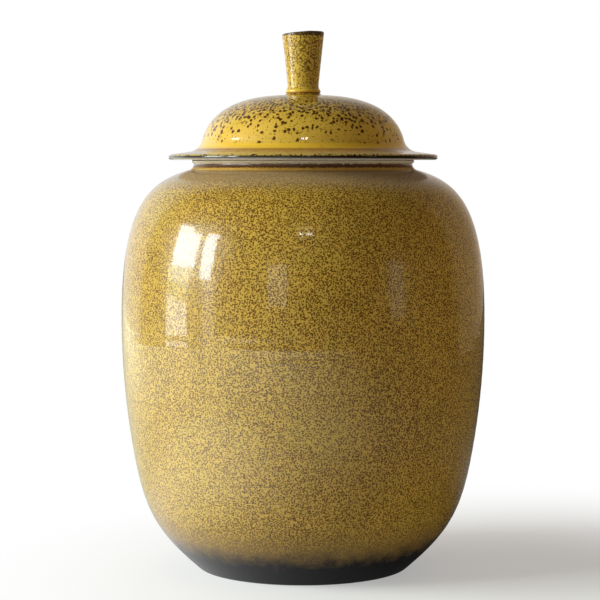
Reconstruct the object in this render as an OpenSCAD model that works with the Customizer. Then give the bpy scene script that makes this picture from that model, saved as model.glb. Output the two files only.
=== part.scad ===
// Lidded stoneware storage jar, in millimetres.
// The pot is thrown in one piece, with a turned foot, full shoulders and a short neck.
// The lid is a dome on a wide flat flange. A locating ring under the flange drops into the mouth.
// A tall flared knob is thrown by itself and luted to a low boss on the crown of the lid.
// The origin is the centre of the foot on the table, and +Z is the axis of the wheel.

/* [Pot] */
// Widest diameter of the pot
body_d = 238; // [205:1:300]
// Height of the widest point above the table
belly_h = 163; // [130:1:190]
// Height above the table at which the line of the shoulder meets the neck
shoulder_h = 261.6; // [230:0.2:320]
// Slope of the shoulder where it meets the neck, below the horizontal, in degrees
shoulder_slope = 16.5; // [8:0.5:30]
// Fullness of the shoulder at its outer end, as a share of its rise
shoulder_rise_fullness = 0.79; // [0.5:0.01:0.9]
// Fullness of the shoulder at its inner end, as a share of its run
shoulder_run_fullness = 0.59; // [0.3:0.01:0.8]
// Radius of the long curve up the side
side_radius = 503; // [350:1:900]
// Thickness of the thrown wall
wall = 7; // [5:0.5:9]

/* [Foot] */
// Diameter of the foot where it meets the table
foot_d = 137.6; // [110:0.2:160]
// Flare of the wall as it leaves the foot, from the vertical, in degrees
foot_flare = 49; // [35:1:58]
// Height of the heel, the tight curve between foot and side
heel_h = 78; // [60:1:95]
// Fullness of the heel at its lower end, as a share of its run
heel_run_fullness = 0.67; // [0.4:0.01:0.8]
// Fullness of the heel at its upper end, as a share of its rise
heel_rise_fullness = 0.5; // [0.35:0.01:0.6]
// Thickness of the wall down at the foot
heel_wall = 10; // [7:0.5:13]
// Thickness of the floor inside the foot ring
floor_t = 9; // [6:0.5:14]
// Reach of the rounding from the floor into the wall
floor_round = 16; // [8:1:26]
// Width of the ring that the pot stands on
foot_ring_w = 9; // [6:0.5:16]
// Depth of the turned hollow inside the foot ring
foot_recess = 4; // [2:0.5:7]
// Run of the sloped side of the turned hollow
recess_taper = 3; // [1:0.5:6]
// Rounding of both edges of the foot ring
foot_round = 1; // [0.4:0.1:2]

/* [Neck] */
// Outer diameter of the neck
neck_d = 143.2; // [124:0.2:165]
// Height of the rim above the line of the shoulder
neck_h = 5.6; // [5:0.2:20]
// Radius of the hollow between the shoulder and the neck
neck_hollow = 4; // [2:0.1:6]
// Radius of the bead round the lip
lip_bead = 1; // [0.6:0.1:1.2]
// How far the bead stands out from the neck
lip_out = 1.2; // [1.2:0.1:2]
// Rounding on the inner edge of the mouth
mouth_round = 1.6; // [0.8:0.1:2.4]

/* [Lid] */
// How far the flange stands out past the lip of the jar
flange_overhang = 15.1; // [9:0.1:24]
// Thickness of the flange at its rounded edge
flange_edge_t = 3.6; // [2.6:0.1:5]
// Slope of the top of the flange, below the horizontal, in degrees
flange_slope = 8; // [2:0.5:12]
// How far the foot of the dome stands in from the outside of the neck
dome_set_in = 5.6; // [3:0.1:9]
// Height of the dome above the seat of the lid
dome_h = 42; // [34:0.2:60]
// Inward lean of the side of the dome at its foot, in degrees
dome_lean = 14; // [4:0.5:20]
// Fullness of the dome at its foot, as a share of its rise
dome_rise_fullness = 0.38; // [0.2:0.01:0.6]
// Fullness of the dome at its crown, as a share of its run
dome_run_fullness = 0.75; // [0.5:0.01:0.9]
// Slope of the dome beside the crown, below the horizontal, in degrees
crown_slope = 1.5; // [0.5:0.5:6]
// Radius of the cove between the flange and the dome
cove = 10; // [5:0.5:11]
// Thickness of the dome
lid_wall = 5; // [4:0.5:6.5]
// Depth of the locating ring below the seat
ring_depth = 12; // [6:0.5:18]
// Thickness of the locating ring
ring_wall = 4.5; // [3.5:0.5:6.5]
// Gap all round between the locating ring and the mouth
lid_gap = 1.5; // [0.8:0.1:2.5]
// How far the locating ring draws in towards its lower edge
ring_taper = 0.8; // [0:0.1:1.5]
// Rounding on both lower edges of the locating ring
ring_round = 1.2; // [0.5:0.1:1.6]

/* [Knob] */
// Height of the knob, from the boss to its rim
knob_h = 40; // [30:0.2:60]
// Diameter of the knob at its rim
knob_top_d = 27.6; // [23:0.2:40]
// Diameter of the knob at its waist, just above the foot
knob_waist_d = 20.6; // [15:0.2:24]
// Flare of the side of the knob at its rim, from the vertical, in degrees
knob_flare = 6; // [2:0.5:14]
// How far the bead round the foot of the knob stands out from the waist
knob_bead_out = 1.3; // [0.5:0.1:2]
// Height of the bead round the foot of the knob
knob_bead_h = 3; // [2:0.1:4.5]
// Rounding on the rim of the knob
knob_rim_round = 1.2; // [0.6:0.1:1.8]
// Rise of the slightly domed top of the knob above its rim
knob_crown = 0.9; // [0.2:0.1:3]
// Height of the boss that the knob stands on
boss_h = 1; // [0.6:0.1:2]
// How far the boss spreads out past the foot of the knob
boss_spread = 2.6; // [1:0.1:5]

/* [Hidden] */

// Facets of a full turn, and steps along a long curve and along a small rounding
turn_facets = 120;
curve_steps = 16;
round_steps = 5;

pot_glaze = "#9c7f35";
lid_glaze = "#c09c38";
knob_glaze = "#a98b3c";

body_r = body_d / 2;
foot_r = foot_d / 2;
neck_r = neck_d / 2;
mouth_r = neck_r - wall;
lip_r = neck_r + lip_out;
rim_z = shoulder_h + neck_h;
floor_z = foot_recess + floor_t;
recess_r = foot_r - foot_ring_w;

// The heel ends where the long curve of the side begins
heel_lean = asin((belly_h - heel_h) / side_radius);
heel_r = body_r - side_radius * (1 - cos(heel_lean));
heel_foot = [foot_r, 0] + foot_round * heading(90 - foot_flare);

// The hollow that rounds the shoulder into the neck stops short of the bead
hollow_turn = tan(45 + shoulder_slope / 2);
hollow = min(neck_hollow, (neck_h - lip_bead - lip_out) * hollow_turn);
hollow_centre = [neck_r + hollow, shoulder_h + hollow / hollow_turn];
shoulder_end = hollow_centre + hollow * heading(270 - shoulder_slope);

ring_r = mouth_r - lid_gap;
ring_inside_r = ring_r - ring_wall;
ring_z = rim_z - ring_depth;
flange_r = lip_r + flange_overhang;
flange_edge_r = flange_edge_t / 2;
flange_edge = [flange_r - flange_edge_r, rim_z + flange_edge_r];
flange_top = flange_edge + flange_edge_r * heading(90 - flange_slope);

// The cove is an arc that leaves the slope of the flange and arrives at the lean of the dome
dome_r = neck_r - dome_set_in;
cove_r = dome_r + cove * cos(dome_lean);
cove_z = flange_top[1] + (flange_top[0] - cove_r + cove * sin(flange_slope)) * tan(flange_slope)
         + cove * cos(flange_slope);
cove_line = arc([cove_r, cove_z], cove, 270 - flange_slope, 180 + dome_lean);
dome_foot = cove_line[round_steps];

crown_z = rim_z + dome_h;
knob_z = crown_z + boss_h;
knob_top_r = knob_top_d / 2;
knob_waist_r = knob_waist_d / 2;
knob_foot_r = knob_waist_r + knob_bead_out;
knob_bead_r = knob_bead_h / 2;
knob_waist_z = 3 * knob_bead_r;
boss_r = knob_foot_r + boss_spread;

// A direction in a section, from its angle above the outward horizontal
function heading(angle) = [cos(angle), sin(angle)];

function reversed(points) = [for (i = [len(points) - 1 : -1 : 0]) points[i]];

// A cubic curve that leaves one point and arrives at another along two headings
function blend(start, leave, first, finish, arrive, last) =
    let (a = start + first * heading(leave), b = finish - last * heading(arrive))
    [for (i = [0 : curve_steps]) let (t = i / curve_steps, s = 1 - t)
        s ^ 3 * start + 3 * s ^ 2 * t * a + 3 * s * t ^ 2 * b + t ^ 3 * finish];

// Points round a circle, from one angle to another
function arc(centre, radius, from, to, steps = round_steps) =
    [for (i = [0 : steps]) centre + radius * heading(from + (to - from) * i / steps)];

// The corner of two straight lines, rounded from a point on one to a point on the other
function corner(start, middle, finish) =
    [for (i = [0 : round_steps]) let (t = i / round_steps, s = 1 - t)
        s ^ 2 * start + 2 * s * t * middle + t ^ 2 * finish];

// A line moved to its left by a thickness that depends on the height
function beside(points, thickness) =
    let (last = len(points) - 1)
    [for (i = [0 : last])
        let (run = points[min(i + 1, last)] - points[max(i - 1, 0)])
        points[i] + thickness(points[i][1]) * [-run[1], run[0]] / norm(run)];

// A line without its first point, to follow another that ends there
function after(points) = [for (i = [1 : len(points) - 1]) points[i]];

// Outside of the pot, from the foot to the top of the hollow under the neck
heel_line = blend(heel_foot, 90 - foot_flare,
                  heel_run_fullness * (heel_r - foot_r) / sin(foot_flare),
                  [heel_r, heel_h], 90 - heel_lean, heel_rise_fullness * heel_h);
side_line = arc([body_r - side_radius, belly_h], side_radius, -heel_lean, 0, curve_steps);
shoulder_line = blend([body_r, belly_h], 90,
                      shoulder_rise_fullness * (shoulder_end[1] - belly_h),
                      shoulder_end, 180 - shoulder_slope,
                      shoulder_run_fullness * (body_r - shoulder_end[0]));
hollow_line = arc(hollow_centre, hollow, 270 - shoulder_slope, 180);
pot_line = [each heel_line, each after(side_line), each after(shoulder_line), each after(hollow_line)];

// The wall is even above the belly and grows thicker towards the foot
pot_wall = function(z) wall + max(0, heel_wall - wall) * max(0, 1 - z / belly_h);
pot_inside = [for (p = beside(pot_line, pot_wall)) if (p[1] > floor_z + floor_round / 2) p];
inside_foot = pot_inside[0];
inside_run = (pot_inside[1] - inside_foot) / (pot_inside[1][1] - inside_foot[1]);
floor_edge = inside_foot - (inside_foot[1] - floor_z) * inside_run;

// Outside and inside of the dome, from its foot to its crown
dome_line = blend(dome_foot, 90 + dome_lean,
                  dome_rise_fullness * (crown_z - dome_foot[1]) / cos(dome_lean),
                  [boss_r, crown_z], 180 - crown_slope, dome_run_fullness * (dome_foot[0] - boss_r));
dome_inside = beside(dome_line, function(z) lid_wall);
ring_throat = blend(dome_inside[0], 270 + dome_lean, lid_wall, [ring_inside_r, rim_z], 270, lid_wall);

module jar_pot() {
    color(pot_glaze)
    rotate_extrude($fn = turn_facets)
    polygon([
        [0, foot_recess],
        [recess_r - recess_taper, foot_recess],
        each corner([recess_r - foot_round / 2, foot_recess * foot_round / 2 / recess_taper],
                    [recess_r, 0], [recess_r + foot_round, 0]),
        each corner([foot_r - foot_round, 0], [foot_r, 0], heel_foot),
        each after(pot_line),
        [neck_r, rim_z - lip_bead - lip_out],
        each arc([lip_r - lip_bead, rim_z - lip_bead], lip_bead, -90, 90),
        each arc([mouth_r + mouth_round, rim_z - mouth_round], mouth_round, 90, 180),
        each reversed(pot_inside),
        each after(corner(inside_foot, floor_edge, floor_edge - [floor_round, 0])),
        [0, floor_z]
    ]);
}

module lid_dome() {
    color(lid_glaze)
    rotate_extrude($fn = turn_facets)
    polygon([
        [ring_r, rim_z],
        each arc(flange_edge, flange_edge_r, -90, 90 - flange_slope),
        each cove_line,
        each after(dome_line),
        each after(corner([boss_r, crown_z], [knob_foot_r, crown_z], [knob_foot_r, knob_z])),
        [0, knob_z],
        [0, dome_inside[curve_steps][1]],
        each reversed(dome_inside),
        each after(ring_throat),
        each corner([ring_inside_r, ring_z + ring_round], [ring_inside_r, ring_z],
                    [ring_inside_r + ring_round, ring_z]),
        each corner([ring_r - ring_taper - ring_round, ring_z], [ring_r - ring_taper, ring_z],
                    [ring_r - ring_taper, ring_z + ring_round])
    ]);
}

module lid_knob() {
    color(knob_glaze)
    translate([0, 0, knob_z])
    rotate_extrude($fn = turn_facets)
    polygon([
        [0, 0],
        each arc([knob_foot_r - knob_bead_r, knob_bead_r], knob_bead_r, -90, 60),
        each blend([knob_waist_r, knob_waist_z], 90, knob_bead_h,
                   [knob_top_r, knob_h - knob_rim_round], 90 - knob_flare, knob_h / 2),
        each after(corner([knob_top_r, knob_h - knob_rim_round], [knob_top_r, knob_h],
                          [knob_top_r - knob_rim_round, knob_h])),
        [0, knob_h + knob_crown]
    ]);
}

jar_pot();
lid_dome();
lid_knob();
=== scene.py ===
import math

import bmesh
import bpy
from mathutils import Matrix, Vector


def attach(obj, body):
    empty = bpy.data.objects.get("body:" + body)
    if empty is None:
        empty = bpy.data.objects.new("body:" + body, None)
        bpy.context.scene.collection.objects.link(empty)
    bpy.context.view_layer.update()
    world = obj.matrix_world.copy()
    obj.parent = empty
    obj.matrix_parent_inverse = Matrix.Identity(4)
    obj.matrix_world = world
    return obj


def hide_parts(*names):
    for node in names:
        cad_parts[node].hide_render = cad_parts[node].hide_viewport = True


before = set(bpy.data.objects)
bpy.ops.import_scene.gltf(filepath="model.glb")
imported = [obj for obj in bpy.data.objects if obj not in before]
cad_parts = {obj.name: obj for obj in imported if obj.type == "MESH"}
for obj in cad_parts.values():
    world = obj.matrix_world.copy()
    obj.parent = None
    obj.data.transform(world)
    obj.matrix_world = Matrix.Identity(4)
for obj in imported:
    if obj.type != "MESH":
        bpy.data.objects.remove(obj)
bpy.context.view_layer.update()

# The camera stands about 1.3 m away, level with the lip of the jar, and looks slightly down through
# a long lens.
camera = bpy.data.objects.new("camera", bpy.data.cameras.new("camera"))
camera.data.lens = 120
camera.location = (-0.002, -1.311, 0.2652)
camera.rotation_euler = (math.radians(90 - 3.92), 0, 0)
bpy.context.scene.collection.objects.link(camera)
bpy.context.scene.camera = camera
bpy.context.scene.view_settings.view_transform = "Standard"


# The pot is dark stoneware, thrown on the wheel in one piece, turned at the foot and glazed. Its wall
# is 7 mm thick at the neck and 10 mm at the foot. The rings of the thrower's fingers stay in it,
# plain inside and almost smoothed away outside. The rim and the foot ring are wiped free of glaze.
body_r, belly_h, side_radius = 119, 163, 503
foot_r, heel_h, heel_angle = 68.8, 78, 49
heel_lean = math.degrees(math.asin((belly_h - heel_h) / side_radius))
heel_r = body_r - side_radius * (1 - math.cos(math.radians(heel_lean)))
neck_r, shoulder_h, shoulder_slope, rim_z, mouth_r, lip_r = 71.6, 261.6, 16.5, 267.2, 64.6, 72.8
wall, heel_wall, floor_z, recess, recess_r, lip_h, mouth_edge = 7, 10, 13, 4, 59.8, 2.2, 1.6


def heading(angle):
    """A direction in a section, from its angle above the outward horizontal."""
    return Vector((math.cos(math.radians(angle)), math.sin(math.radians(angle))))


def sweep(start, leave, first, finish, arrive, last, steps):
    """A cubic curve between two points, by its headings and reaches at both ends."""
    a, b = start + first * heading(leave), finish - last * heading(arrive)
    shares = [i / steps for i in range(steps + 1)]
    return [(1 - t) ** 3 * start + 3 * (1 - t) ** 2 * t * a + 3 * (1 - t) * t * t * b + t ** 3 * finish
            for t in shares]


def arc(centre, radius, begin, end, steps):
    """Points on a circle, from one heading to another."""
    return [centre + radius * heading(begin + (end - begin) * i / steps) for i in range(steps + 1)]


def corner(start, middle, finish, steps=5):
    """The corner of two straight lines, rounded."""
    shares = [i / steps for i in range(steps + 1)]
    return [(1 - t) ** 2 * start + 2 * (1 - t) * t * middle + t * t * finish for t in shares]


def beside(points, thickness):
    """A line moved to its left by a thickness that depends on the height."""
    moved = []
    for i, point in enumerate(points):
        run = points[min(i + 1, len(points) - 1)] - points[max(i - 1, 0)]
        moved.append(point + thickness(point.y) * Vector((-run.y, run.x)) / run.length)
    return moved


def fill(start, finish, steps):
    """Even points on a straight line, without its two ends."""
    return [start.lerp(finish, i / steps) for i in range(1, steps)]


def marked(points, rings, bare, inner):
    """Points of a section with what the potter did there: finger rings, wiped clay, inside glaze.
    The rings fade out towards both ends of the run."""
    last = max(len(points) - 1, 1)
    return [(p, (rings * min(1, 8 * i / last, 8 * (last - i) / last), bare, inner))
            for i, p in enumerate(points)]


def wheel_tree():
    """Turns half a section into a thrown shell, with spiral finger rings and a slight wobble."""
    tree = bpy.data.node_groups.new("throw_on_wheel", "GeometryNodeTree")
    sizes = {"Section": "Geometry", "Columns": "Int", "Ring pitch": "Float", "Ring depth": "Float",
             "Wobble": "Float", "Seed": "Float", "Glaze": "Material"}
    for name, kind in sizes.items():
        tree.interface.new_socket(name, in_out="INPUT", socket_type="NodeSocket" + kind)
    tree.interface.new_socket("Shell", in_out="OUTPUT", socket_type="NodeSocketGeometry")
    given = add(tree, "NodeGroupInput").outputs

    # The grid has one column of points for each step round the wheel, one row for each point of the section
    count = add(tree, "GeometryNodeAttributeDomainSize", {0: given["Section"]})
    columns = add(tree, "ShaderNodeMath", {0: given["Columns"], 1: 1.0}, operation="ADD")
    grid = add(tree, "GeometryNodeMeshGrid", {"Vertices X": columns, "Vertices Y": count})
    index = add(tree, "GeometryNodeInputIndex")
    row = add(tree, "ShaderNodeMath", {0: index, 1: count}, operation="MODULO")
    column = add(tree, "ShaderNodeMath", {
        0: add(tree, "ShaderNodeMath", {0: index, 1: 0.5}, operation="ADD"), 1: count}, operation="DIVIDE")
    column = add(tree, "ShaderNodeMath", {0: column}, operation="FLOOR")
    turn = add(tree, "ShaderNodeMath", {0: column, 1: given["Columns"]}, operation="DIVIDE")
    point, mark = (
        add(tree, "GeometryNodeSampleIndex", {"Geometry": given["Section"], "Value": field, "Index": row},
            data_type="FLOAT_VECTOR")
        for field in (add(tree, "GeometryNodeInputPosition"),
                      add(tree, "GeometryNodeInputNamedAttribute", {"Name": "mark"},
                          data_type="FLOAT_VECTOR")))
    place = add(tree, "ShaderNodeSeparateXYZ", {0: point}).outputs
    rings = add(tree, "ShaderNodeSeparateXYZ", {0: mark}).outputs["X"]
    angle = add(tree, "ShaderNodeMath", {0: turn, 1: math.tau}, operation="MULTIPLY")
    across = add(tree, "ShaderNodeMath", {0: angle}, operation="COSINE")
    along = add(tree, "ShaderNodeMath", {0: angle}, operation="SINE")

    # The rings climb one pitch a turn, and only ever cut inwards
    climb = add(tree, "ShaderNodeMath", {0: place["Z"], 1: given["Ring pitch"]}, operation="DIVIDE")
    climb = add(tree, "ShaderNodeMath", {0: climb, 1: turn}, operation="SUBTRACT")
    wave = add(tree, "ShaderNodeMath", {
        0: add(tree, "ShaderNodeMath", {0: climb, 1: math.tau}, operation="MULTIPLY")}, operation="SINE")
    cut = add(tree, "ShaderNodeMath", {0: wave, 1: 1.0}, operation="SUBTRACT")
    cut = add(tree, "ShaderNodeMath", {0: cut, 1: 0.5}, operation="MULTIPLY")
    depth = add(tree, "ShaderNodeMath", {0: rings, 1: given["Ring depth"]}, operation="MULTIPLY")
    groove = add(tree, "ShaderNodeMath", {0: cut, 1: depth}, operation="MULTIPLY")

    # The wobble drifts round the wheel and up the piece, and dies out over the last 10 mm to the axis
    drift = add(tree, "ShaderNodeTexNoise", {
        "Vector": add(tree, "ShaderNodeCombineXYZ", {
            0: across, 1: along,
            2: add(tree, "ShaderNodeMath", {0: place["Z"], 1: 6.0}, operation="MULTIPLY")}),
        "W": given["Seed"], "Scale": 0.8, "Detail": 1.0}, noise_dimensions="4D")
    wobble = add(tree, "ShaderNodeMath", {0: drift, 1: given["Wobble"]}, operation="MULTIPLY")
    off_axis = add(tree, "ShaderNodeMath", {0: place["X"], 1: 100.0}, operation="MULTIPLY")
    off_axis = add(tree, "ShaderNodeMath", {0: off_axis, 1: 1.0}, operation="MINIMUM")
    wobble = add(tree, "ShaderNodeMath", {0: wobble, 1: off_axis}, operation="MULTIPLY")
    radius = add(tree, "ShaderNodeMath", {0: place["X"], 1: groove}, operation="ADD")
    radius = add(tree, "ShaderNodeMath", {0: radius, 1: wobble}, operation="SUBTRACT")
    shaped = add(tree, "GeometryNodeSetPosition", {
        "Geometry": grid, "Position": add(tree, "ShaderNodeCombineXYZ", {
            0: add(tree, "ShaderNodeMath", {0: radius, 1: across}, operation="MULTIPLY"),
            1: add(tree, "ShaderNodeMath", {0: radius, 1: along}, operation="MULTIPLY"),
            2: place["Z"]})})
    kept = add(tree, "GeometryNodeStoreNamedAttribute", {
        "Geometry": shaped, "Name": "mark", "Value": mark}, data_type="FLOAT_VECTOR", domain="POINT")
    closed = add(tree, "GeometryNodeMergeByDistance", {"Geometry": kept, "Distance": 0.00001})
    smooth = add(tree, "GeometryNodeSetShadeSmooth", {"Geometry": closed})
    whole = add(tree, "GeometryNodeRealizeInstances", {"Geometry": smooth})
    glazed = add(tree, "GeometryNodeSetMaterial", {"Geometry": whole, "Material": given["Glaze"]})
    add(tree, "NodeGroupOutput", {"Shell": glazed})
    return tree


def add(tree, kind, feeds=None, **settings):
    """Adds a node with its settings. Each feed is a value, or the node or output that leads to that input.
    Inputs of a Map Range: 0 the value, 1 and 2 the range it comes from, 3 and 4 the range it goes to.
    Inputs of a Mix: 0 the share of the second, 2 and 3 two numbers, 6 and 7 two colours."""
    node = tree.nodes.new(kind)
    for name, value in settings.items():
        setattr(node, name, value)
    for key, value in (feeds or {}).items():
        if isinstance(value, bpy.types.Node):
            value = value.outputs[0]
        if isinstance(value, bpy.types.NodeSocket):
            tree.links.new(value, node.inputs[key])
        else:
            node.inputs[key].default_value = value
    return node


def throw(name, section, glaze, **sizes):
    """Throws one piece from its section in millimetres, and turns the result into a plain mesh."""
    outline = bpy.data.meshes.new(name + "_section")
    outline.from_pydata([(p.x / 1000, 0, p.y / 1000) for p, mark in section],
                        [(i, i + 1) for i in range(len(section) - 1)], [])
    marks = outline.attributes.new("mark", "FLOAT_VECTOR", "POINT")
    marks.data.foreach_set("vector", [value for p, mark in section for value in mark])
    clay = bpy.data.objects.new(name + "_clay", outline)
    bpy.context.scene.collection.objects.link(clay)
    wheel = clay.modifiers.new("wheel", "NODES")
    wheel.node_group = throwing
    sizes["Glaze"] = glaze
    for item in throwing.interface.items_tree:
        if item.in_out == "INPUT" and item.name in sizes:
            wheel[item.identifier] = sizes[item.name]
    bpy.context.view_layer.update()
    shell = bpy.data.meshes.new_from_object(clay.evaluated_get(bpy.context.evaluated_depsgraph_get()))
    clay.modifiers.remove(wheel)
    bpy.data.objects.remove(clay)
    work = bmesh.new()
    work.from_mesh(shell)
    bmesh.ops.recalc_face_normals(work, faces=work.faces)
    work.to_mesh(shell)
    work.free()
    piece = bpy.data.objects.new(name, shell)
    bpy.context.scene.collection.objects.link(piece)
    return piece


def linear(code):
    """An sRGB hex colour as the linear colour that a shader takes."""
    parts = [int(code[i:i + 2], 16) / 255 for i in (1, 3, 5)]
    return [c / 12.92 if c <= 0.04045 else ((c + 0.055) / 1.055) ** 2.4 for c in parts] + [1]


throwing = wheel_tree()

# The profile from the foot up: heel, side, shoulder and the small hollow under the lip. The inside follows.
hollow_bend = math.tan(math.radians(45 + shoulder_slope / 2))
hollow = min(4, (rim_z - shoulder_h - lip_h) * hollow_bend)
hollow_centre = Vector((neck_r + hollow, shoulder_h + hollow / hollow_bend))
shoulder_end = hollow_centre + hollow * heading(270 - shoulder_slope)
heel_foot = Vector((foot_r, 0)) + heading(90 - heel_angle)
heel = sweep(heel_foot, 90 - heel_angle, 0.67 * (heel_r - foot_r) / math.sin(math.radians(heel_angle)),
             Vector((heel_r, heel_h)), 90 - heel_lean, 0.5 * heel_h, 46)
side = arc(Vector((body_r - side_radius, belly_h)), side_radius, -heel_lean, 0, 40)
shoulder = sweep(Vector((body_r, belly_h)), 90, 0.79 * (shoulder_end.y - belly_h), shoulder_end,
                 180 - shoulder_slope, 0.59 * (body_r - shoulder_end.x), 60)
neck = arc(hollow_centre, hollow, 270 - shoulder_slope, 180, 6)
outside = heel + side[1:] + shoulder[1:] + neck[1:]
inside = [p for p in beside(outside, lambda z: wall + (heel_wall - wall) * max(0, 1 - z / belly_h))
          if p.y > floor_z + 8]
slant = (inside[1] - inside[0]) / (inside[1].y - inside[0].y)
floor_edge = inside[0] - (inside[0].y - floor_z) * slant
floor_turn = corner(inside[0], floor_edge, floor_edge - Vector((16, 0)), 8)
recess_side = Vector((recess_r - 3, recess)), Vector((recess_r - 0.5, recess / 6))
pot_section = (
    marked([Vector((0, recess))] + fill(Vector((0, recess)), recess_side[0], 12) + [recess_side[0]], 0, 1, 0)
    + marked(corner(recess_side[1], Vector((recess_r, 0)), Vector((recess_r + 1, 0))), 0, 1, 0)
    + marked(fill(Vector((recess_r + 1, 0)), Vector((foot_r - 1, 0)), 4), 0, 1, 0)
    + marked(corner(Vector((foot_r - 1, 0)), Vector((foot_r, 0)), heel_foot), 0, 0, 0)
    + marked(outside[1:], 0.12, 0, 0)
    + marked([Vector((neck_r, rim_z - lip_h))], 0, 0, 0)
    + marked(arc(Vector((lip_r - 1, rim_z - 1)), 1, -90, 60, 6), 0, 0, 0)
    + marked(arc(Vector((lip_r - 1, rim_z - 1)), 1, 80, 90, 1), 0, 1, 0)
    + marked(fill(Vector((lip_r - 1, rim_z)), Vector((mouth_r + mouth_edge, rim_z)), 4), 0, 1, 0)
    + marked(arc(Vector((mouth_r + mouth_edge, rim_z - mouth_edge)), mouth_edge, 90, 180, 6), 0, 1, 1)
    + marked(inside[::-1], 1, 0, 1)
    + marked(floor_turn[1:] + fill(floor_turn[-1], Vector((0, floor_z)), 14) + [Vector((0, floor_z))],
             0.3, 0, 1))


def new_glaze(name):
    """Starts a stoneware glaze: glass over clay, whose finest waves add a softer second gleam. Gives the
    material, its tree, its shader and the place of each point on the piece."""
    material = bpy.data.materials.new(name)
    material.use_nodes = True
    tree = material.node_tree
    shader = tree.nodes["Principled BSDF"]
    shader.inputs["IOR"].default_value = 1.56
    shader.inputs["Coat Weight"].default_value = 0.25
    shader.inputs["Coat Roughness"].default_value = 0.4
    return material, tree, shader, add(tree, "ShaderNodeTexCoord").outputs["Object"]


def stripe(tree, colour, under, over, low, high, tone, strength, under_blur=0.0003, over_blur=0.0003):
    """Lays a stripe of another tone round the piece, from one height to another, in metres. The feeds under
    and over give each point's height, plain or made uneven, for its lower and its upper side."""
    zone = add(tree, "ShaderNodeMath", {
        0: add(tree, "ShaderNodeMapRange", {
            0: under, 1: low - under_blur, 2: low + under_blur, 3: 0.0, 4: strength}),
        1: add(tree, "ShaderNodeMapRange", {
            0: over, 1: high - over_blur, 2: high + over_blur, 3: 1.0, 4: 0.0})}, operation="MULTIPLY")
    return add(tree, "ShaderNodeMix", {0: zone, 6: colour, 7: linear(tone)}, data_type="RGBA").outputs[2]


def bare_clay(tree, place):
    """Fired stoneware where the glaze was wiped off: grey-brown, with paler grog about 1 mm across in it."""
    grog = add(tree, "ShaderNodeTexNoise", {"Vector": place, "Scale": 900.0, "Detail": 2.0})
    return add(tree, "ShaderNodeMix", {
        0: add(tree, "ShaderNodeMapRange", {0: grog, 1: 0.4, 2: 0.62}),
        6: linear("#6b5646"), 7: linear("#8b7664")}, data_type="RGBA").outputs[2]


# Iron-speckled olive stoneware glaze, fired glossy. Small dark iron spots, about 1 mm apart, run together
# into worms on a mustard ground. The glaze breaks paler on the lip, pools brown under it, and thins into a
# satin blue-black band above the foot. Under the lid, painted light and shade are added: the lip and a tan
# line at the neck are painted lighter against the lid's shade, the brown pool is painted darker as shade,
# and the flat of the shoulder is painted greyer as a reflection of the flange.
olive_glaze, tree, shader, place = new_glaze("iron_speckled_olive_stoneware_glaze")
height = add(tree, "ShaderNodeSeparateXYZ", {0: place}).outputs["Z"]
mark = add(tree, "ShaderNodeSeparateXYZ", {0: add(
    tree, "ShaderNodeAttribute", attribute_name="mark").outputs["Vector"]}).outputs

# The mustard ground, clouded softly over about 14 mm, with olive drifts about 60 mm across
cloud = add(tree, "ShaderNodeTexNoise", {"Vector": place, "Scale": 70.0, "Detail": 3.0})
drift = add(tree, "ShaderNodeTexNoise", {"Vector": place, "Scale": 16.0, "Detail": 2.0})
ground = add(tree, "ShaderNodeMix", {
    0: add(tree, "ShaderNodeMapRange", {0: cloud, 1: 0.35, 2: 0.65, 3: 0.0, 4: 1.0}),
    6: linear("#b6933a"), 7: linear("#bd963c")}, data_type="RGBA").outputs[2]
ground = add(tree, "ShaderNodeMix", {
    0: add(tree, "ShaderNodeMapRange", {0: drift, 1: 0.5, 2: 0.72, 3: 0.0, 4: 0.3}),
    6: ground, 7: linear("#b09a44")}, data_type="RGBA").outputs[2]

# The spots sit 1.05 mm apart, one to a cell. A fine noise pulls them out of round, so that neighbours join.
bend = add(tree, "ShaderNodeVectorMath", {
    0: add(tree, "ShaderNodeTexNoise", {"Vector": place, "Scale": 780.0}).outputs["Color"],
    1: (0.0005, 0.0005, 0.0005), 2: place}, operation="MULTIPLY_ADD")
cells = add(tree, "ShaderNodeTexVoronoi", {"Vector": bend, "Scale": 955.0, "Randomness": 0.85}).outputs
worms = add(tree, "ShaderNodeTexNoise", {"Vector": place, "Scale": 1530.0, "Detail": 0.0})
thick = add(tree, "ShaderNodeMapRange", {0: drift, 1: 0.3, 2: 0.7, 3: -0.03, 4: 0.03})
joined = add(tree, "ShaderNodeMath", {0: worms, 1: 0.5, 2: cells["Distance"]}, operation="MULTIPLY_ADD")
speckle = add(tree, "ShaderNodeMapRange", {
    0: add(tree, "ShaderNodeMath", {0: joined, 1: thick}, operation="ADD"),
    1: 0.64, 2: 0.82, 3: 1.0, 4: 0.0}, interpolation_type="SMOOTHSTEP")
colour = add(tree, "ShaderNodeMix", {
    0: speckle, 6: ground, 7: linear("#5c3a07")}, data_type="RGBA").outputs[2]

# On the flat of the shoulder, close to the neck: a painted reflection of the lid's flange, paler and greyer,
# where few spots show
painted_flange_reflection = add(tree, "ShaderNodeMapRange", {0: height, 1: 0.246, 2: 0.258, 3: 0.0, 4: 0.68},
           interpolation_type="SMOOTHSTEP")
colour = add(tree, "ShaderNodeMix", {0: painted_flange_reflection, 6: colour, 7: linear("#8d765c")}, data_type="RGBA").outputs[2]

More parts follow.
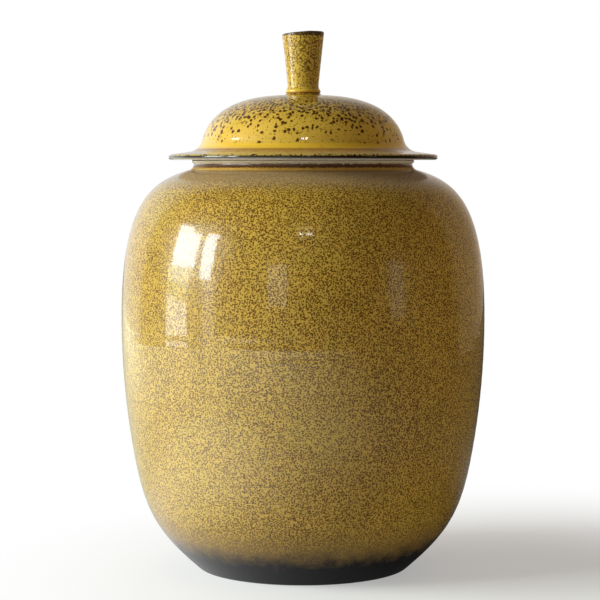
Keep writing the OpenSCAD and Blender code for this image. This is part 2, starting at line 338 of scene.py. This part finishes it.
# Towards the foot the speckle melts into brown, then into the blue-black band
ragged = add(tree, "ShaderNodeMath", {
    0: add(tree, "ShaderNodeTexNoise", {"Vector": place, "Scale": 110.0, "Detail": 4.0, "Roughness": 0.65}),
    1: 0.016, 2: height}, operation="MULTIPLY_ADD")
melt = add(tree, "ShaderNodeMapRange", {0: ragged, 1: 0.026, 2: 0.054, 3: 1.0, 4: 0.0},
           interpolation_type="SMOOTHSTEP")
colour = add(tree, "ShaderNodeMix", {
    0: add(tree, "ShaderNodeMath", {0: melt, 1: 0.75}, operation="MULTIPLY"),
    6: colour, 7: linear("#7d6238")}, data_type="RGBA").outputs[2]
band = add(tree, "ShaderNodeMapRange", {0: ragged, 1: 0.020, 2: 0.036, 3: 1.0, 4: 0.0},
           interpolation_type="SMOOTHSTEP")
colour = add(tree, "ShaderNodeMix", {0: band, 6: colour, 7: linear("#111217")}, data_type="RGBA").outputs[2]

# Pale lip, brown pool under it, and a thin tan line where the neck meets the shoulder, all a little uneven.
# Partly glaze, partly painted light: the lip and the tan line are painted lighter against the shade under
# the lid, and the pool is painted darker as the shade in the hollow under the lip.
uneven = add(tree, "ShaderNodeMath", {
    0: add(tree, "ShaderNodeMath", {0: worms, 1: 0.5}, operation="SUBTRACT"), 1: 0.0022, 2: height},
    operation="MULTIPLY_ADD")
for low, high, tone, strength in ((0.2604, 0.2624, "#d9aa4a", 0.85), (0.2622, 0.2648, "#4a2403", 0.95),
                                  (0.2649, 0.2690, "#efe3c8", 0.95)):
    colour = stripe(tree, colour, uneven, uneven, low, high, tone, strength)

# Inside, one thin pour of the same glaze with few spots. Where it was wiped off, the bare clay shows.
few = add(tree, "ShaderNodeMapRange", {0: worms, 1: 0.30, 2: 0.40, 3: 1.0, 4: 0.0})
lining = add(tree, "ShaderNodeMix", {0: few, 6: linear("#9a7c3a"), 7: linear("#4c3510")},
             data_type="RGBA").outputs[2]
colour = add(tree, "ShaderNodeMix", {0: mark["Z"], 6: colour, 7: lining}, data_type="RGBA").outputs[2]
colour = add(tree, "ShaderNodeMix", {
    0: mark["Y"], 6: colour, 7: bare_clay(tree, place)}, data_type="RGBA").outputs[2]
tree.links.new(colour, shader.inputs["Base Color"])

# Glossy all over, satin in the dark band, dull where the clay is bare
gloss = add(tree, "ShaderNodeMapRange", {0: band, 1: 0.0, 2: 1.0, 3: 0.07, 4: 0.24})
gloss = add(tree, "ShaderNodeMix", {0: mark["Y"], 2: gloss, 3: 0.85})
tree.links.new(gloss.outputs[0], shader.inputs["Roughness"])

# The gloss isn't flat: the spots stand a few hundredths of a millimetre proud, and the glaze rolls softly
grain = add(tree, "ShaderNodeBump", {"Height": speckle, "Strength": 0.35, "Distance": 0.00005})
roll = add(tree, "ShaderNodeBump", {
    "Height": add(tree, "ShaderNodeTexNoise", {"Vector": place, "Scale": 60.0, "Detail": 2.0}),
    "Strength": 0.5, "Distance": 0.0002, "Normal": grain})
tree.links.new(roll.outputs[0], shader.inputs["Normal"])

pot = throw("stoneware_pot", pot_section, olive_glaze,
            **{"Columns": 256, "Ring pitch": 0.0085, "Ring depth": 0.0006, "Wobble": 0.0003, "Seed": 2.0})
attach(pot, "jar")
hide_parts("jar_pot")


# The lid is thrown upside down in one piece: a dome with a wide flat flange, and a locating ring under
# it that drops 12 mm into the mouth. A low boss on the crown carries the knob. It is glazed yellow, and
# wiped bare where it sits on the rim.
ring_r, ring_inside_r, ring_z, flange_r = 63.1, 58.6, 255.2, 87.9
crown_z, boss_r, knob_foot_r, knob_z = 309.2, 14.2, 11.6, 310.2
edge_r, flange_slope, cove_size, wall_lean, dome_wall, dome_foot_r = 1.8, 8, 10, 14, 5, neck_r - 5.6
ring_edge, ring_low_r = 1.2, ring_r - 0.8

# From the edge of the flange inwards: the slope of the flange, the cove, the dome and the boss. The hollow
# follows 5 mm under the dome, down to the ring.
edge = Vector((flange_r - edge_r, rim_z + edge_r))
flange_top = edge + edge_r * heading(90 - flange_slope)
slope, lean = math.radians(flange_slope), math.radians(wall_lean)
cove_r = dome_foot_r + cove_size * math.cos(lean)
cove_z = (flange_top.y + (flange_top.x - cove_r + cove_size * math.sin(slope)) * math.tan(slope)
          + cove_size * math.cos(slope))
cove = arc(Vector((cove_r, cove_z)), cove_size, 270 - flange_slope, 180 + wall_lean, 14)
dome = sweep(cove[-1], 90 + wall_lean, 0.38 * (crown_z - cove[-1].y) / math.cos(lean),
             Vector((boss_r, crown_z)), 180 - 1.5, 0.75 * (cove[-1].x - boss_r), 64)
under = beside(dome, lambda z: dome_wall)
throat = sweep(under[0], 270 + wall_lean, 5, Vector((ring_inside_r, rim_z)), 270, 5, 12)
boss = corner(Vector((boss_r, crown_z)), Vector((knob_foot_r, crown_z)), Vector((knob_foot_r, knob_z)), 8)
seat = Vector((ring_r, rim_z)), Vector((edge.x, rim_z))
lid_section = (
    marked([seat[0]] + fill(*seat, 18)[:9], 0, 1, 0)
    + marked(fill(*seat, 18)[9:], 0, 0, 0)
    + marked(arc(edge, edge_r, -90, 90 - flange_slope, 16), 0, 0, 0)
    + marked(fill(flange_top, cove[0], 8) + cove, 0, 0, 0)
    + marked(dome[1:], 0.12, 0, 0)
    + marked(boss[1:], 0, 0, 0)
    + marked(fill(Vector((knob_foot_r, knob_z)), Vector((0, knob_z)), 5) + [Vector((0, knob_z))], 0, 1, 0)
    + marked([Vector((0, under[-1].y))] + fill(Vector((0, under[-1].y)), under[-1], 7), 0.4, 0, 1)
    + marked(under[::-1], 0.8, 0, 1)
    + marked(throat[1:], 0, 0, 1)
    + marked(fill(Vector((ring_inside_r, rim_z)), Vector((ring_inside_r, ring_z + ring_edge)), 6), 0, 0, 1)
    + marked(corner(Vector((ring_inside_r, ring_z + ring_edge)), Vector((ring_inside_r, ring_z)),
                    Vector((ring_inside_r + ring_edge, ring_z))), 0, 1, 1)
    + marked(corner(Vector((ring_low_r - ring_edge, ring_z)), Vector((ring_low_r, ring_z)),
                    Vector((ring_low_r, ring_z + ring_edge))), 0, 1, 1)
    + marked(fill(Vector((ring_low_r, ring_z + ring_edge)), seat[0], 6) + [seat[0]], 0, 1, 1))

# Yellow ochre stoneware glaze, fired glossy over an iron-rich slip. Black-brown spots, 1 to 2.5 mm long,
# break through it, few low on the dome and crowding together towards the crown. The glaze runs off the
# wall of the dome, pools bright in the cove, and breaks dark along the edge of the flange.
ochre_glaze, tree, shader, place = new_glaze("iron_spotted_yellow_ochre_stoneware_glaze")
height = add(tree, "ShaderNodeSeparateXYZ", {0: place}).outputs["Z"]
mark = add(tree, "ShaderNodeSeparateXYZ", {0: add(
    tree, "ShaderNodeAttribute", attribute_name="mark").outputs["Vector"]}).outputs
cloud = add(tree, "ShaderNodeTexNoise", {"Vector": place, "Scale": 45.0, "Detail": 3.0})
colour = add(tree, "ShaderNodeMix", {
    0: add(tree, "ShaderNodeMapRange", {0: cloud, 1: 0.35, 2: 0.65}), 6: linear("#c59f39"),
    7: linear("#cca23e")}, data_type="RGBA").outputs[2]

# The spots ran down the slope a little while the glaze was soft, so their pattern is laid out round the
# wheel and down the slope, and crowds together towards the crown
level = add(tree, "ShaderNodeVectorMath", {0: place, 1: (1.0, 1.0, 0.0)}, operation="MULTIPLY")
reach = add(tree, "ShaderNodeVectorMath", {0: level}, operation="LENGTH").outputs["Value"]
down = add(tree, "ShaderNodeMath", {
    0: add(tree, "ShaderNodeMath", {0: height, 1: reach}, operation="SUBTRACT"), 1: 0.62},
    operation="MULTIPLY")
laid = add(tree, "ShaderNodeVectorMath", {
    0: add(tree, "ShaderNodeVectorMath", {0: level}, operation="NORMALIZE"), 1: (0.052, 0.052, 0.052),
    2: add(tree, "ShaderNodeCombineXYZ", {2: down})}, operation="MULTIPLY_ADD")

# Small olive speckle fills in between the spots on the upper dome
fine = add(tree, "ShaderNodeTexNoise", {"Vector": laid, "Scale": 950.0, "Detail": 0.6})
crowd = add(tree, "ShaderNodeMapRange", {0: height, 1: 0.286, 2: 0.304, 3: 0.34, 4: 0.505},
            interpolation_type="SMOOTHSTEP")
speckle = add(tree, "ShaderNodeMapRange", {
    0: add(tree, "ShaderNodeMath", {0: fine, 1: crowd}, operation="SUBTRACT"),
    1: -0.04, 2: 0.03, 3: 0.75, 4: 0.0})
colour = add(tree, "ShaderNodeMix", {
    0: speckle, 6: colour, 7: linear("#735116")}, data_type="RGBA").outputs[2]

# Each cell, 2.3 mm across, may hold one spot. Its chance grows with the height, and a fine noise
# pulls it out of round.
bend = add(tree, "ShaderNodeVectorMath", {
    0: add(tree, "ShaderNodeTexNoise", {"Vector": laid, "Scale": 420.0}).outputs["Color"],
    1: (0.0015, 0.0015, 0.0015), 2: laid}, operation="MULTIPLY_ADD")
cells = add(tree, "ShaderNodeTexVoronoi", {"Vector": bend, "Scale": 430.0}).outputs
chance = add(tree, "ShaderNodeMapRange", {0: height, 1: 0.2775, 2: 0.2955, 3: 0.05, 4: 1.0})
chosen = add(tree, "ShaderNodeMath", {
    0: add(tree, "ShaderNodeSeparateColor", {0: cells["Color"]}), 1: chance}, operation="LESS_THAN")
spots = add(tree, "ShaderNodeMapRange", {0: cells["Distance"], 1: 0.36, 2: 0.50, 3: 1.0, 4: 0.0})
spotted = add(tree, "ShaderNodeMath", {0: spots, 1: chosen}, operation="MULTIPLY")
colour = add(tree, "ShaderNodeMix", {
    0: spotted, 6: colour, 7: linear("#4b2602")}, data_type="RGBA").outputs[2]

# Bands, from the cove down to the edge: bright pool, red-brown line, a pinkish band that is a painted
# reflection on the top of the flange, olive edge, black-brown line with short spikes, and the underside:
# pale glaze, painted near white against the shade it lies in
spikes = add(tree, "ShaderNodeTexNoise", {"Vector": add(
    tree, "ShaderNodeVectorMath", {0: place, 1: (1.0, 1.0, 0.1)}, operation="MULTIPLY"),
    "Scale": 720.0, "Detail": 1.0})
spiked = add(tree, "ShaderNodeMath", {
    0: add(tree, "ShaderNodeMapRange", {0: spikes, 1: 0.57, 2: 0.68, 3: 0.0, 4: -0.0036}), 1: height},
    operation="ADD")
for over, low, high, tone, strength in (
        (height, 0.2744, 0.2775, "#d8aa2c", 0.8), (height, 0.2727, 0.2744, "#8e5a1c", 0.8),
        (height, 0.2705, 0.2727, "#a98d6c", 0.85), (height, 0.2690, 0.2708, "#ab8f3a", 0.9),
        (height, 0.2600, 0.2680, "#f3e9e2", 1.0), (spiked, 0.2678, 0.2698, "#200f02", 1.0)):
    colour = stripe(tree, colour, height, over, low, high, tone, strength)

# Inside, the same thin pour as in the pot, and bare clay where the lid sits on the rim
lining = add(tree, "ShaderNodeMix", {
    0: add(tree, "ShaderNodeMapRange", {0: fine, 1: 0.30, 2: 0.38, 3: 1.0, 4: 0.0}),
    6: linear("#ab8b40"), 7: linear("#4c3510")}, data_type="RGBA").outputs[2]
colour = add(tree, "ShaderNodeMix", {0: mark["Z"], 6: colour, 7: lining}, data_type="RGBA").outputs[2]
colour = add(tree, "ShaderNodeMix", {
    0: mark["Y"], 6: colour, 7: bare_clay(tree, place)}, data_type="RGBA").outputs[2]
tree.links.new(colour, shader.inputs["Base Color"])
gloss = add(tree, "ShaderNodeMix", {0: mark["Y"], 2: 0.06, 3: 0.85})
tree.links.new(gloss.outputs[0], shader.inputs["Roughness"])
grain = add(tree, "ShaderNodeBump", {"Height": spotted, "Strength": 0.4, "Distance": 0.00006})
roll = add(tree, "ShaderNodeBump", {
    "Height": add(tree, "ShaderNodeTexNoise", {"Vector": place, "Scale": 70.0, "Detail": 2.0}),
    "Strength": 0.5, "Distance": 0.0002, "Normal": grain})
tree.links.new(roll.outputs[0], shader.inputs["Normal"])

lid = throw("domed_lid", lid_section, ochre_glaze,
            **{"Columns": 224, "Ring pitch": 0.0060, "Ring depth": 0.0004, "Wobble": 0.0002, "Seed": 7.0})
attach(lid, "lid")
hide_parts("lid_dome")


# The knob is a small solid stem, thrown off the hump, flared towards its flat top and luted to the boss
# with slip, which left a bead round its foot.
waist_r, waist_h, top_r, knob_h, bead_r, rim_r = 10.3, 4.5, 13.8, 40, 1.5, 1.2
knob_section = (
    marked([Vector((0, 0))] + fill(Vector((0, 0)), Vector((knob_foot_r - bead_r, 0)), 5), 0, 1, 0)
    + marked(arc(Vector((knob_foot_r - bead_r, bead_r)), bead_r, -90, 60, 10), 0, 0, 0)
    + marked(sweep(Vector((waist_r, waist_h)), 90, 3, Vector((top_r, knob_h - rim_r)), 90 - 6, 20, 40),
             0.5, 0, 0)
    + marked(corner(Vector((top_r, knob_h - rim_r)), Vector((top_r, knob_h)),
                    Vector((top_r - rim_r, knob_h)), 6)[1:], 0, 0, 0)
    + marked(sweep(Vector((top_r - rim_r, knob_h)), 174, 4, Vector((0, knob_h + 0.9)), 180, 5, 14)[1:],
             0, 0, 0))
knob_section = [(p + Vector((0, knob_z)), mark) for p, mark in knob_section]

# The same yellow ochre glaze as the lid, with the speckle of the pot: olive-brown worms 1 mm across,
# thick towards the top. It breaks to dark iron brown round the rim and pools bright above the bead.
knob_glaze, tree, shader, place = new_glaze("iron_speckled_ochre_stoneware_glaze")
height = add(tree, "ShaderNodeSeparateXYZ", {0: place}).outputs["Z"]
cloud = add(tree, "ShaderNodeTexNoise", {"Vector": place, "Scale": 120.0, "Detail": 3.0})
colour = add(tree, "ShaderNodeMix", {
    0: add(tree, "ShaderNodeMapRange", {0: cloud, 1: 0.35, 2: 0.65}), 6: linear("#c29a34"),
    7: linear("#c4a13c")}, data_type="RGBA").outputs[2]
worms = add(tree, "ShaderNodeTexNoise", {"Vector": place, "Scale": 900.0, "Detail": 0.5})
crowd = add(tree, "ShaderNodeMapRange", {0: height, 1: 0.311, 2: 0.331, 3: 0.41, 4: 0.50},
            interpolation_type="SMOOTHSTEP")
speckle = add(tree, "ShaderNodeMapRange", {
    0: add(tree, "ShaderNodeMath", {0: worms, 1: crowd}, operation="SUBTRACT"),
    1: -0.06, 2: 0.04, 3: 0.9, 4: 0.0})
colour = add(tree, "ShaderNodeMix", {
    0: speckle, 6: colour, 7: linear("#66460d")}, data_type="RGBA").outputs[2]
wavy = add(tree, "ShaderNodeMath", {0: cloud, 1: 0.0016, 2: height}, operation="MULTIPLY_ADD")
for line, low, high, tone, strength in (
        (height, 0.3111, 0.3128, "#d9ae3a", 0.8), (height, 0.3090, 0.3111, "#9a6224", 0.75),
        (wavy, 0.3483, 0.3560, "#412b13", 0.93)):
    colour = stripe(tree, colour, line, line, low, high, tone, strength, under_blur=0.0004)
top = add(tree, "ShaderNodeMapRange", {0: height, 1: 0.3501, 2: 0.3505, 3: 0.0, 4: 0.8})
colour = add(tree, "ShaderNodeMix", {0: top, 6: colour, 7: linear("#a58f58")}, data_type="RGBA").outputs[2]
tree.links.new(colour, shader.inputs["Base Color"])
shader.inputs["Roughness"].default_value = 0.08
grain = add(tree, "ShaderNodeBump", {"Height": speckle, "Strength": 0.4, "Distance": 0.00005})
tree.links.new(grain.outputs[0], shader.inputs["Normal"])

knob = throw("flared_knob", knob_section, knob_glaze,
             **{"Columns": 128, "Ring pitch": 0.0050, "Ring depth": 0.0001, "Wobble": 0.0003, "Seed": 11.0})

# It was cut free by hand, so its top 10 mm lean: the rim is 1.3 mm lower on the left and 0.4 mm higher on
# the right
lean_h, lowered, raised = 10, 0.0013, 0.00038
for vertex in knob.data.vertices:
    share = max(0, vertex.co.z * 1000 - knob_z - (knob_h - lean_h)) / lean_h
    side_share = vertex.co.x * 1000 / top_r
    vertex.co.z += share * (raised * max(0, side_share) - lowered * min(1, max(0, 0.3 - side_share) / 1.3))
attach(knob, "lid")
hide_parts("lid_knob")


# The table is a plain pale board, a hair below the foot of the jar, that ends about a metre in front of it.
# It keeps the jar's shadow and fades to the white of the backdrop further out.
table = bpy.data.meshes.new("table")
board_z = -0.0002
table.from_pydata([(x, y, board_z) for x, y in ((-1.3, -1.15), (1.1, -1.15), (1.1, 6), (-1.3, 6))],
                  [], [(0, 1, 2, 3)])
table = bpy.data.objects.new("table", table)
bpy.context.scene.collection.objects.link(table)

# Matt white paint on board: no gloss of its own, so straight on all it shows is the soft shadow. In the
# jar's gloss it is a glowing sheet instead, painted with light and shadow.
board = bpy.data.materials.new("matt_white_painted_board")
board.use_nodes = True
tree = board.node_tree
tree.nodes.clear()
paint = add(tree, "ShaderNodeBsdfDiffuse", {"Color": linear("#e4e2df")})
rays = add(tree, "ShaderNodeLightPath").outputs
mirrored = add(tree, "ShaderNodeMath", {
    0: rays["Is Glossy Ray"], 1: rays["Is Transmission Ray"]}, operation="MAXIMUM")
place = add(tree, "ShaderNodeTexCoord").outputs["Object"]

# Looked at, the paint fades to white away from the jar's shadow, which lies to the right of it
away = add(tree, "ShaderNodeVectorMath", {
    0: place, 1: (0.14, -0.03, 0.0)}, operation="DISTANCE").outputs["Value"]
fade = add(tree, "ShaderNodeMapRange", {
    0: away, 1: 0.05, 2: 0.38, 3: 0.35, 4: 1.0}, interpolation_type="SMOOTHSTEP")

# In the gloss of the jar the board glows with painted light: a painted shadow where the jar's shadow lies,
# and painted light growing brighter towards the windows on the left. A painted patch of sun lies beside the
# jar, and further away a painted green tint stands for the garden's light.
shaded = add(tree, "ShaderNodeMapRange", {
    0: away, 1: 0.05, 2: 0.36, 3: 0.04, 4: 1.0}, interpolation_type="SMOOTHSTEP")
near_window = add(tree, "ShaderNodeMapRange", {
    0: add(tree, "ShaderNodeVectorMath", {
        0: place, 1: (1.0, 0.35, 0.0)}, operation="DOT_PRODUCT").outputs["Value"],
    1: -0.69, 2: 0.63, 3: 0.72, 4: 0.0})
sunny = add(tree, "ShaderNodeMath", {
    0: add(tree, "ShaderNodeMath", {0: near_window, 1: 2.0}, operation="POWER"), 1: 4.6, 2: 0.05},
    operation="MULTIPLY_ADD")
painted_sun_patch = add(tree, "ShaderNodeMapRange", {
    0: add(tree, "ShaderNodeVectorMath", {
        0: place, 1: (-0.26, -0.15, 0.0)}, operation="DISTANCE").outputs["Value"],
    1: 0.05, 2: 0.30, 3: 1.6, 4: 0.0}, interpolation_type="SMOOTHSTEP")
sunny = add(tree, "ShaderNodeMath", {0: sunny, 1: painted_sun_patch}, operation="ADD")
glare = add(tree, "ShaderNodeMix", {
    0: mirrored, 2: 1.0, 3: add(tree, "ShaderNodeMath", {0: shaded, 1: sunny}, operation="MULTIPLY")})
garden = add(tree, "ShaderNodeMath", {
    0: add(tree, "ShaderNodeMapRange", {0: away, 1: 0.2, 2: 0.4}), 1: mirrored}, operation="MULTIPLY")
tint = add(tree, "ShaderNodeMix", {
    0: garden, 6: linear("#ffffff"), 7: linear("#faffee")}, data_type="RGBA").outputs[2]
mixed = add(tree, "ShaderNodeMixShader", {
    0: add(tree, "ShaderNodeMath", {
        0: rays["Is Camera Ray"], 1: fade, 2: mirrored}, operation="MULTIPLY_ADD"),
    1: paint, 2: add(tree, "ShaderNodeEmission", {"Strength": glare, "Color": tint})})
add(tree, "ShaderNodeOutputMaterial", {"Surface": mixed})
table.data.materials.append(board)

# The room: a white wall behind the jar, and a dim room in front of it, lighter by its windows on the left
world = bpy.data.worlds.new("room")
world.use_nodes = True
bpy.context.scene.world = world
tree = world.node_tree
tree.nodes.clear()
rays = add(tree, "ShaderNodeLightPath").outputs
line = add(tree, "ShaderNodeTexCoord").outputs["Generated"]
ways = add(tree, "ShaderNodeSeparateXYZ", {0: line}).outputs
facing = add(tree, "ShaderNodeVectorMath", {
    0: line, 1: (0.09, 0.996, 0.15)}, operation="DOT_PRODUCT").outputs["Value"]
bright = add(tree, "ShaderNodeMath", {
    0: add(tree, "ShaderNodeMapRange", {0: ways["X"], 1: -0.6, 2: 0.6, 3: 1.2, 4: 0.32}),
    1: add(tree, "ShaderNodeMapRange", {0: ways["Z"], 1: 0.3, 2: 0.85, 3: 1.0, 4: 0.35})},
    operation="MULTIPLY")
dim = add(tree, "ShaderNodeMapRange", {0: ways["X"], 1: -0.95, 2: -0.3, 3: 0.35, 4: 0.04})
seen = add(tree, "ShaderNodeMix", {
    0: add(tree, "ShaderNodeMapRange", {0: facing, 1: 0.42, 2: 0.47}, interpolation_type="SMOOTHSTEP"),
    2: dim, 3: bright})
mirrored = add(tree, "ShaderNodeMath", {
    0: rays["Is Glossy Ray"], 1: rays["Is Transmission Ray"]}, operation="MAXIMUM")

# It shows in the gloss, lights the jar dimly and warmly, and is plain white behind it
level = add(tree, "ShaderNodeMix", {0: mirrored, 2: 0.15, 3: seen})
level = add(tree, "ShaderNodeMix", {0: rays["Is Camera Ray"], 2: level, 3: 1.0})
warm = add(tree, "ShaderNodeMapRange", {0: ways["X"], 1: -0.2, 2: 0.6})
tint = add(tree, "ShaderNodeMix", {
    0: warm, 6: linear("#ffffff"), 7: linear("#ffe4c0")}, data_type="RGBA").outputs[2]
tint = add(tree, "ShaderNodeMix", {
    0: mirrored, 6: linear("#ffe8c8"), 7: tint}, data_type="RGBA").outputs[2]
tint = add(tree, "ShaderNodeMix", {
    0: rays["Is Camera Ray"], 6: tint, 7: linear("#ffffff")}, data_type="RGBA").outputs[2]
add(tree, "ShaderNodeOutputWorld", {
    0: add(tree, "ShaderNodeBackground", {"Color": tint, "Strength": level})})

# Windows, lamps and broad daylight from the left: name, direction to the right of the camera's and height
# above the horizon in degrees, width and height in metres, colour, brightness, seen in the gloss or not
lamp_distance, middle = 3, Vector((0, 0, 0.19))
for name, side_turn, rise, wide, tall, tone, glow, shines in (
        ("window_left", -81, 16.3, 1.00, 0.90, "#f4fbff", 16, True),
        ("window_right", -62.3, 16, 0.44, 1.06, "#f4fbff", 18, True),
        ("garden_left_high", -84, 5.6, 0.95, 0.26, "#f6ffe4", 6, True),
        ("garden_left_low", -84, 1.5, 0.95, 0.16, "#e8ff9c", 2.4, True),
        ("sill_left", -84, -3.4, 0.95, 0.36, "#ffffff", 6, True),
        ("sill_right", -59.5, -0.5, 0.44, 0.68, "#ffffff", 2.2, True),
        ("far_window", -16, 7.2, 0.62, 0.70, "#ffffff", 1.6, True),
        ("right_window", 59, 5, 0.55, 0.8, "#ffffff", 0.6, True),
        ("ceiling_lamp_left", -1.0, 32, 0.10, 0.05, "#ffffff", 60, True),
        ("ceiling_lamp_right", 4.0, 32, 0.10, 0.05, "#ffffff", 60, True),
        ("daylight", -72, 20, 1.8, 1.8, "#ebfff2", 8.1, False),
        ("room_fill", 80, 1, 2.0, 1.0, "#ffedd6", 2.3, False),
        ("back_wall_glow", 152, 12, 2.4, 1.8, "#fff6e9", 2.2, False)):
    lamp = bpy.data.lights.new(name, "AREA")
    lamp.shape, lamp.size, lamp.size_y = "RECTANGLE", wide, tall
    lamp.color = linear(tone)[:3]
    lamp.energy = glow * math.pi * wide * tall  # so that the lamp itself is as bright as glow
    holder = bpy.data.objects.new(name, lamp)
    bpy.context.scene.collection.objects.link(holder)
    a, b = math.radians(side_turn), math.radians(rise)
    line = Vector((math.sin(a) * math.cos(b), -math.cos(a) * math.cos(b), math.sin(b)))
    holder.location = middle + lamp_distance * line
    holder.rotation_euler = line.to_track_quat("Z", "Y").to_euler()
    holder.visible_glossy = shines
